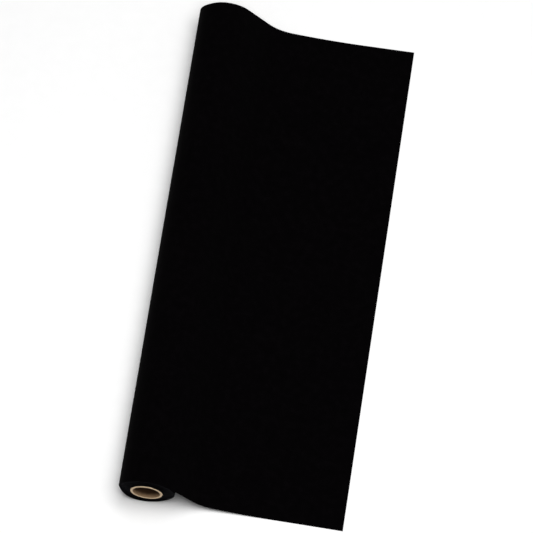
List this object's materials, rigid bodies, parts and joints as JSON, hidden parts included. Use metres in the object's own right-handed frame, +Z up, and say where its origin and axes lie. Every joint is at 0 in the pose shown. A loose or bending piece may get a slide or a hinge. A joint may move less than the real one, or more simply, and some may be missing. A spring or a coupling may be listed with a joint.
{
  "type": "backdrop paper roll",
  "caption": "Roll of matte black backdrop paper on a spiral-wound board core, with the sheet drawn off the top, down to the floor and out flat.",
  "frame": {"origin": "on the axis of the core's bore, at mid-length", "axes": "+Y along the core's axis, +X across the floor the way the paper feeds, +Z up"},
  "size_m": [0.2795, 0.6646, 0.07],
  "materials": {
    "kraft_board": "matte kraft board",
    "grey_board": "matte unlined board",
    "paper_tape": "satin paper tape",
    "black_paper": "dead matte"
  },
  "bodies": {
    "sheet_curve": {"paper_drape": "black_paper"},
    "roll": {"core_liner": "kraft_board", "core_ply_1": "grey_board", "core_ply_2": "grey_board", "core_ply_3": "grey_board", "core_ply_4": "grey_board", "core_wrap": "kraft_board", "starter_tape": "paper_tape", "wound_paper": "black_paper"},
    "sheet_leaf": {"paper_leaf": "black_paper"}
  },
  "joints": [
    {"name": "roll_turn", "type": "hinge", "parent": "sheet_curve", "child": "roll", "pos_m": [0, 0, 0], "axis": [0, 1, 0], "range_deg": [0, 720]},
    {"name": "leaf_feed", "type": "slide", "parent": "sheet_curve", "child": "sheet_leaf", "axis": [1, 0, 0], "range_m": [0, 0.44]}
  ],
  "couplings": [
    {"joint": "leaf_feed", "follows": "roll_turn", "m_per_rad": 0.035}
  ]
}
